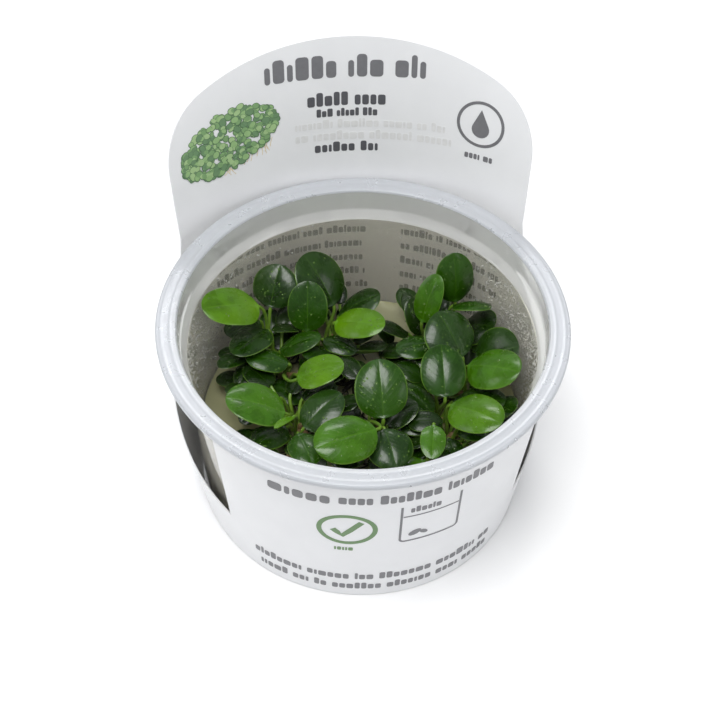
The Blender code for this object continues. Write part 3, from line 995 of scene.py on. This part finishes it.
def leaf_wave(name):
    """Phase of a blade's ripple, its slight twist and how far its edges fall."""
    draw = random.Random(name)
    return draw.uniform(0, 2 * pi), draw.uniform(-0.03, 0.03), draw.uniform(0.02, 0.26)


def add_leaf(shape, leaf, root, axis, wave, blade_slot, stalk_slot, detail=1.0,
             thickness=0.45):
    """A round stalk that flattens into an arched blade with a sunken midrib."""
    stations = STATIONS if detail >= 1 else STATIONS[::2]
    count = len(stations)
    side = blade_axes(leaf)[2]
    stalk_rings = max(5, round(STALK_RINGS * detail))
    blade_rings = max(8, round(BLADE_RINGS * detail))
    stalk_radius = PETIOLE_RADIUS * 0.9
    stalk_loops = []
    for ring in range(stalk_rings):
        share = ring / (stalk_rings - 1)
        centre, direction = stalk_point(root, axis, leaf, share)
        right, up = ring_axes(direction, side)
        collar = 0.12 * exp(-((share - 0.93) / 0.05) ** 2)
        radius = stalk_radius * (1.05 - 0.2 * share + collar)
        loop = []
        for place, sign in ring_places(stations):
            turn = 0.5 * pi * (1 - place)
            loop.append(centre + right * (radius * cos(turn))
                        + up * (sign * radius * sin(turn)))
        stalk_loops.append(loop)
    blade_loops = []
    maps = [(0.5, 0.0)] * (2 * count - 2)
    for ring in range(1, blade_rings + 1):
        share = 0.5 - 0.5 * cos(pi * ring / (blade_rings + 0.35))
        centre, direction = blade_centre(leaf, share)
        right, up = ring_axes(direction, side)
        half_width = max(0.18, 0.5 * leaf.width * blade_half_width(share))
        blend = min(1.0, share / 0.05)
        loop = []
        for place, sign in ring_places(stations):
            turn = 0.5 * pi * (1 - place)
            top = upper_skin(leaf, share, place, wave)
            skin_depth = thickness * (0.35 + 0.65 * (1 - place * place))
            rib = 0.5 * exp(-(place * half_width / 0.45) ** 2) * (1 - share) ** 0.7
            if sign < 0:
                top -= skin_depth + rib
            elif abs(place) == 1:
                top -= 0.5 * skin_depth
            round_top = sign * stalk_radius * 0.9 * sin(turn)
            loop.append(centre + right * (place * half_width)
                        + up * (blend * top + (1 - blend) * round_top))
            maps.append((0.5 + 0.5 * place, share))
        blade_loops.append(loop)
    shape.rings(stalk_loops, stalk_slot, cap_end=False)
    shape.rings([stalk_loops[-1]] + blade_loops, blade_slot, maps=maps, cap_start=False)


def ring_places(stations):
    """Places round a ring: over the top from left to right, then back underneath."""
    top = [(place, 1) for place in stations]
    below = [(place, -1) for place in reversed(stations[1:-1])]
    return top + below


def every_leaf():
    """Name, leaf, root, rhizome direction and wave of each named leaf."""
    for key, leaves in LEAVES.items():
        for number, leaf in enumerate(leaves, start=1):
            name = "%s%d" % (key, number)
            yield name, leaf, rhizome_point(key, leaf.foot), rhizome_axis(key), leaf_wave(name)


def make_leaves(blades, stalk):
    """Every leaf as its own piece."""
    for name, leaf, root, axis, wave in every_leaf():
        shape = Shape()
        add_leaf(shape, leaf, root, axis, wave, 0, 1)
        weld(shape)
        slot = "young_leaf" if leaf.tone in YOUNG_TONES else "old_leaf"
        obj = shape.make("leaf_blade_" + name, (blades[leaf.tone], stalk), slot)
        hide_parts("leaf_" + name)


def weld(shape):
    """Join the points where a stalk's last ring repeats as the blade's first."""
    seen = {}
    first = [seen.setdefault(tuple(round(part, 5) for part in point), index)
             for index, point in enumerate(shape.points)]
    used = sorted({first[corner] for face in shape.faces for corner in face})
    place = {old: new for new, old in enumerate(used)}
    shape.points = [shape.points[old] for old in used]
    shape.maps = [shape.maps[old] for old in used]
    shape.faces = [tuple(place[first[corner]] for corner in face) for face in shape.faces]


def make_rhizomes(surface):
    """Stubby creeping stems with the ringed scars of shed leaves."""
    sides = 18
    rings = 30
    for key in RHIZOMES:
        across = rhizome_axis(key).cross(UP)
        phase = random.Random("rhizome " + key).uniform(0, 6)
        loops = []
        for ring in range(rings + 1):
            share = -0.16 + 1.34 * ring / rings
            taper = sqrt(max(0.02, 1 - abs((share - 0.51) / 0.68) ** 6))
            scar = 1 + 0.07 * sin(24 * share + phase)
            loop = []
            for turn in turns(sides):
                knob = 1 + 0.07 * sin(3 * turn + 5 * share + phase)
                radius = RHIZOME_RADIUS * 0.93 * taper * scar * knob
                loop.append(rhizome_point(key, share)
                            + radius * (across * cos(turn) + UP * sin(turn)))
            loops.append(loop)
        shape = Shape()
        shape.rings(loops)
        obj = shape.make("rhizome_stem_" + key, (surface,), "rhizome_skin")
        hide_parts("rhizome_" + key)


def add_tube(shape, path, thick, thin, sides, slot):
    """A tube along a path of points, from a thick end to a thin one."""
    loops = []
    last = len(path) - 1
    for index, point in enumerate(path):
        along = (path[min(last, index + 1)] - path[max(0, index - 1)]).normalized()
        right = sideways(along)
        radius = thick + (thin - thick) * index / last
        loops.append(circle(point, right, right.cross(along), radius, sides))
    shape.rings(loops, slot)


def smooth_path(points, steps):
    """A smooth curve through given points."""
    corners = [Vector(point) for point in points]
    corners = [2 * corners[0] - corners[1]] + corners + [2 * corners[-1] - corners[-2]]
    path = []
    for first, second, third, fourth in zip(corners, corners[1:], corners[2:], corners[3:]):
        for step in range(steps):
            t = step / steps
            path.append(0.5 * ((2 * second) + (third - first) * t
                               + (2 * first - 5 * second + 4 * third - fourth) * t * t
                               + (3 * second - first - 3 * third + fourth) * t ** 3))
    path.append(corners[-2])
    return path


# ---- growth low inside the clumps ----
# rhizomes of each clump, how many small leaves it gets, and its seed
CLUMPS = {"left": ("abcd", 80, 17), "right": ("efgh", 70, 18)}
TRIES_PER_LEAF = 14
GROWTH_RADIUS = 33

# roots seen in the photo and others like them, as points that each one passes
ROOT_ROUTES = (
    ((-24, 21, 18.2), (-26, 24, 18.4), (-28.7, 21.6, 17.6), (-34.5, 16.5, 16.8),
     (-36.6, 8.5, 14.5)),
    ((-21, 17, 18.0), (-26, 12, 17.8), (-31, 8, 16.5), (-33, 1, 14.0)),
    ((-3, 22, 18.3), (0.4, 23.7, 18.3), (6, 20.5, 18.4), (11.6, 17.8, 18.3), (16.7, 19.5, 18.4)),
    ((-16, -10, 18.0), (-23, -12, 17.0), (-29, -16, 13.0), (-30, -18, 8.0)),
    ((3, -14, 18.0), (2, -22, 16.5), (-2, -29, 12.0), (-4, -33, 7.0)),
    ((25, 18, 18.0), (30, 20, 17.0), (33, 17, 12.0), (34, 12, 6.0)),
    ((21, -10, 18.0), (27, -16, 17.0), (29, -20, 12.0), (27, -24, 6.0)),
    ((-11, 21, 17.8), (-12, 28, 16.5), (-15, 32, 12.0), (-20, 30, 7.0)),
    ((22, 8, 18.0), (29, 5, 16.0), (34, 2, 12.0), (35, -6, 8.0)),
)
SHORT_ROOTS_PER_RHIZOME = 16
SHORT_ROOTS_BETWEEN = 50
ROOT_DARK = 2


def tree_of(shape):
    """Search tree over a shape's faces."""
    return BVHTree.FromPolygons([Vector(point) for point in shape.points], shape.faces)


def all_leaves_tree():
    """Search tree over every leaf, to keep the small ones clear of them."""
    shape = Shape()
    for _, leaf, root, axis, wave in every_leaf():
        add_leaf(shape, leaf, root, axis, wave, 0, 0, detail=0.4)
    return tree_of(shape)


def make_undergrowth(blades, stalk):
    """Small dark leaves that fill both clumps below the big ones; mostly the deep green, which is
    partly their own older green and partly painted shade of the clumps' insides.
    """
    taken = [all_leaves_tree()]
    for clump, (keys, wanted, seed) in CLUMPS.items():
        draw = random.Random(seed)
        shape = Shape()
        grown = 0
        for _ in range(wanted * TRIES_PER_LEAF):
            if grown == wanted:
                break
            key = draw.choice(keys)
            root = rhizome_point(key, draw.uniform(-0.2, 1.2))
            swing = draw.uniform(0, 2 * pi)
            base = around(root, swing, draw.uniform(1.5, 11.5), draw.uniform(20.5, 28.5))
            if hypot(base[0], base[1]) > GROWTH_RADIUS:
                continue
            length = draw.uniform(5.5, 9.5)
            leaf = Leaf(0, base, degrees(swing) + draw.uniform(-50, 50),
                        draw.uniform(-5, 40), draw.uniform(-15, 15), length,
                        length * draw.uniform(0.62, 0.8), "dark")
            wave = leaf_wave("low%d" % grown)
            trial = Shape()
            add_leaf(trial, leaf, root, rhizome_axis(key), wave, 0, 0, detail=0.3)
            tree = tree_of(trial)
            if any(tree.overlap(other) for other in taken):
                continue
            taken.append(tree)
            add_leaf(shape, leaf, root, rhizome_axis(key), wave, draw.choice((0, 1, 1)), 2,
                     detail=0.5, thickness=0.3)
            grown += 1
        shape.make("undergrowth_" + clump, (blades["dark"], blades["deep"], stalk), "old_leaf")


def make_roots(surfaces):
    """Brown and pale roots that wander over and through the gel, and a mat of short dark ones."""
    draw = random.Random(23)
    shape = Shape()
    starts = [rhizome_point(key, draw.uniform(-0.2, 1.2)) for key in RHIZOMES
              for _ in range(SHORT_ROOTS_PER_RHIZOME)]
    starts += [Vector((draw.uniform(-10, 14), draw.uniform(-8, 14), 0))
               for _ in range(SHORT_ROOTS_BETWEEN)]
    for root in starts:
        swing = draw.uniform(0, 2 * pi)
        path = []
        for step in range(4):
            swing += draw.uniform(-0.7, 0.7)
            path.append(around(root, swing, 3.0 * step,
                               GEL_TOP + draw.uniform(0.4, 2.2 - 0.4 * step)))
        add_tube(shape, smooth_path(path, 5), 0.34, 0.14, 7, ROOT_DARK)
    for number, route in enumerate(ROOT_ROUTES):
        thick = draw.uniform(0.28, 0.42)
        path = [point + Vector((draw.uniform(-1, 1), draw.uniform(-1, 1), 0)) * 0.12
                for point in smooth_path(route, 12)]
        add_tube(shape, path, 1.1 * thick, 0.5 * thick, 9, number % 2)
    shape.make("roots", surfaces, "rhizome_skin", sharp=80)


def make_sheaths(surface):
    """Brown papery sheaths round the feet of the stalks."""
    draw = random.Random(31)
    shape = Shape()
    bends = [radians(-110 + 220 * side / 8) for side in range(9)]
    for key in RHIZOMES:
        for _ in range(5):
            root = rhizome_point(key, draw.uniform(0, 1))
            lean = Vector((draw.uniform(-1, 1), draw.uniform(-1, 1), draw.uniform(0.4, 1.2)))
            lean.normalize()
            length = draw.uniform(2.5, 5.0)
            curl = Vector((draw.uniform(-1, 1), draw.uniform(-1, 1), 0)) * 0.6
            right, up = ring_axes(lean, Vector((lean.y, -lean.x, 0.1)))
            loops = []
            for ring in range(7):
                share = ring / 6
                centre = root + lean * (RHIZOME_RADIUS * 0.8 + length * share)
                centre += curl * share * share
                wide = 1.1 * (1 - share) ** 0.6 + 0.05
                loops.append([centre + radius * (right * sin(bend) + up * cos(bend))
                              for radius, side in ((wide, bends), (wide - 0.06, bends[::-1]))
                              for bend in side])
            shape.rings(loops)
    shape.make("leaf_sheaths", (surface,), "rhizome_skin", sharp=60)


# ---- water drops ----
MIST_TRIES = 8000
# how wet each leaf is, in threes of drops; a leaf that isn't named has DRY
DROPS_PER_STEP = 3
WET = {"c1": 14, "d2": 22, "b3": 8, "d1": 14, "e2": 8, "e3": 6, "g1": 16, "c6": 8,
       "f1": 12, "f3": 10, "a1": 8, "a8": 8, "d3": 10, "b1": 12, "b2": 10, "a2": 12}
DRY = 6


def add_drop(shape, place, normal, radius, height=0.55, sides=8, rings=3):
    """A shallow dome of water that sits on a surface."""
    right = sideways(normal)
    up = normal.cross(right)
    loops = []
    for ring in range(rings + 1):
        tilt = 0.5 * pi * ring / (rings + 0.4)
        rise = radius * height * sin(tilt)
        loops.append(circle(place + normal * rise, right, up, radius * cos(tilt), sides))
    shape.rings(loops)


def make_leaf_drops(surface):
    """Fine drops scattered over the blades."""
    draw = random.Random(3)
    shape = Shape()
    for name, leaf, _, _, wave in every_leaf():
        for _ in range(WET.get(name, DRY) * DROPS_PER_STEP):
            share = draw.uniform(0.12, 0.9)
            across = draw.uniform(-0.85, 0.85)
            place = blade_point(leaf, share, across, wave)
            ahead = blade_point(leaf, share + 0.02, across, wave) - place
            beside = blade_point(leaf, share, across + 0.02, wave) - place
            normal = beside.cross(ahead).normalized()
            radius = 0.07 + 0.22 * draw.random() ** 2
            add_drop(shape, place - normal * 0.02, normal, radius)
    shape.make("leaf_drops", (surface,), "nutrient_gel", sharp=80)


def make_condensation(surface):
    """Mist of tiny drops on the inner wall, thickest at its left and right."""
    draw = random.Random(9)
    shape = Shape()
    for _ in range(MIST_TRIES):
        angle = draw.gauss(0.5 * pi, 0.55) * draw.choice((-1, 1))
        height = draw.uniform(GEL_TOP + 2, LEDGE_BOTTOM - 0.5)
        keep = 0.35 + 0.65 * (height - GEL_TOP) / (LEDGE_BOTTOM - GEL_TOP)
        if draw.random() > keep:
            continue
        outward = Vector((sin(angle), cos(angle), 0))
        place = outward * cup_inner_radius(height) + UP * height
        radius = 0.1 + 0.3 * draw.random() ** 3
        add_drop(shape, place, -outward, radius, 0.6, 5, 2)
    shape.make("wall_condensation", (surface,), "nutrient_gel", sharp=80)


# ---- studio, in metres ----
# name, place, target, width, height and power of each soft light
LIGHTS = (
    ("top_softbox", (-0.08, -0.14, 0.56), (0.0, 0.0, 0.03), 0.30, 0.28, 2.65),
    ("back_softbox", (0.02, 0.48, 0.46), (0.0, 0.02, 0.04), 0.26, 0.18, 1.3),
    ("right_fill", (0.55, -0.35, 0.35), (0.0, 0.0, 0.03), 0.26, 0.3, 0.55),
    ("left_fill", (-0.6, 0.05, 0.4), (0.0, 0.0, 0.03), 0.26, 0.3, 0.55),
)
SKY_COLOUR = (0.96, 0.98, 1.0, 1.0)
SKY_STRENGTH = 0.39
FLOOR_HALF = 4.0
CAMERA_PLACE = (-0.0218, -0.2149, 0.2920)
CAMERA_TARGET = (-0.00052, 0.00005, 0.0395)
CAMERA_LEAN = 0.024


def stand(name, data, place, target):
    """Put a light or camera at a place and turn it towards its target."""
    obj = bpy.data.objects.new(name, data)
    obj.location = place
    obj.rotation_mode = "QUATERNION"
    obj.rotation_quaternion = (Vector(target) - Vector(place)).to_track_quat("-Z", "Y")
    bpy.context.scene.collection.objects.link(obj)
    return obj


def make_studio():
    """Plain pale floor, even world light and four soft lights."""
    scene = bpy.context.scene
    scene.view_settings.view_transform = "Standard"
    paint = Surface("studio_floor", (0.93, 0.93, 0.93), 0.9)
    paint.drive(Base_Color=paint.mix(paint.noise(3.0), (0.92, 0.92, 0.925), (0.94, 0.94, 0.94)))
    mesh = bpy.data.meshes.new("studio_floor")
    mesh.from_pydata([(-FLOOR_HALF, -FLOOR_HALF, 0), (FLOOR_HALF, -FLOOR_HALF, 0),
                      (FLOOR_HALF, FLOOR_HALF, 0), (-FLOOR_HALF, FLOOR_HALF, 0)],
                     [], [(0, 1, 2, 3)])
    mesh.materials.append(paint.material)
    floor = bpy.data.objects.new("studio_floor", mesh)
    floor.location.z = -0.0002
    scene.collection.objects.link(floor)
    world = bpy.data.worlds.new("studio_world")
    world.use_nodes = True
    sky = world.node_tree.nodes["Background"]
    sky.inputs["Color"].default_value = SKY_COLOUR
    sky.inputs["Strength"].default_value = SKY_STRENGTH
    scene.world = world
    for name, place, target, wide, tall, power in LIGHTS:
        data = bpy.data.lights.new(name, "AREA")
        data.shape = "RECTANGLE"
        data.size = wide
        data.size_y = tall
        data.energy = power
        stand(name, data, place, target)


def make_camera():
    """Camera above the front of the cup, tilted a little clockwise."""
    data = bpy.data.cameras.new("camera")
    data.lens = 70.07
    data.sensor_width = 36.0
    data.clip_start = 0.01
    data.dof.use_dof = False
    camera = stand("camera", data, CAMERA_PLACE, CAMERA_TARGET)
    lean = Quaternion((0, 0, 1), CAMERA_LEAN)
    camera.rotation_quaternion = camera.rotation_quaternion @ lean
    bpy.context.scene.camera = camera


def make_prints():
    """Every ink and the three prints."""
    grey = ink_material("ink_grey", (0.14, 0.14, 0.15))
    black = ink_material("ink_black", (0.075, 0.075, 0.085))
    faint = ink_material("ink_show_through", (0.62, 0.62, 0.62))
    leaf_colours = ((0.075, 0.15, 0.07), (0.17, 0.30, 0.13), (0.24, 0.39, 0.17),
                    (0.12, 0.22, 0.11), (0.30, 0.44, 0.21))
    leaf_inks = [ink_material("ink_leaf_%d" % number, colour)
                 for number, colour in enumerate(leaf_colours)]
    tan = ink_material("ink_root", (0.60, 0.50, 0.34))
    make_header_print((grey, black, faint, *leaf_inks, tan))
    make_panel_print((grey, ink_material("ink_green", (0.10, 0.20, 0.07))))
    make_inner_print((ink_material("ink_inner", (0.02, 0.02, 0.022)),))


def make_plants():
    """Leaves, rhizomes, undergrowth, roots and sheaths."""
    blades = {tone: blade_material(tone) for tone in TONES}
    stalk = organic_material("stalk_skin", (0.10, 0.20, 0.02), (0.16, 0.28, 0.03), 0.35, 400.0,
                             0.0001)
    bark = organic_material("rhizome_bark", (0.10, 0.09, 0.03), (0.05, 0.07, 0.015), 0.6, 500.0,
                            0.0003)
    paper = organic_material("sheath", (0.16, 0.09, 0.03), (0.28, 0.20, 0.10), 0.7, 700.0,
                             0.0003)
    roots = [organic_material(name, colour, other, roughness, 600.0, 0.0002)
             for name, colour, other, roughness in (
                 ("root_brown", (0.11, 0.08, 0.03), (0.05, 0.05, 0.02), 0.5),
                 ("root_pale", (0.30, 0.28, 0.14), (0.16, 0.17, 0.06), 0.5),
                 ("root_dark", (0.020, 0.016, 0.008), (0.010, 0.014, 0.004), 0.6))]
    make_leaves(blades, stalk)
    make_rhizomes(bark)
    make_undergrowth(blades, stalk)
    make_roots(roots)
    make_sheaths(paper)


def main():
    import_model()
    make_studio()
    make_camera()
    clear = plastic_material("cup_wall_plastic", (0.99, 0.965, 0.87), 0.85, 0.02, 0.06)
    band = plastic_material("cup_band_plastic", (0.98, 0.98, 0.965), 0.64, 0.06, 0.15)
    milky = plastic_material("cup_rim_plastic", (0.66, 0.68, 0.715), 0.40, 0.26, 0.38)
    make_cup(clear, band, milky)
    make_gel(gel_material())
    make_sleeve(card_material())
    make_prints()
    make_plants()
    # the dew's partly opaque green is a painted glow: the light each drop would focus onto its
    # leaf
    make_leaf_drops(water_material("dew_painted_glow", (0.26, 0.48, 0.10), 0.65))
    make_condensation(water_material("mist", (0.97, 0.97, 0.93), 0.68))


main()
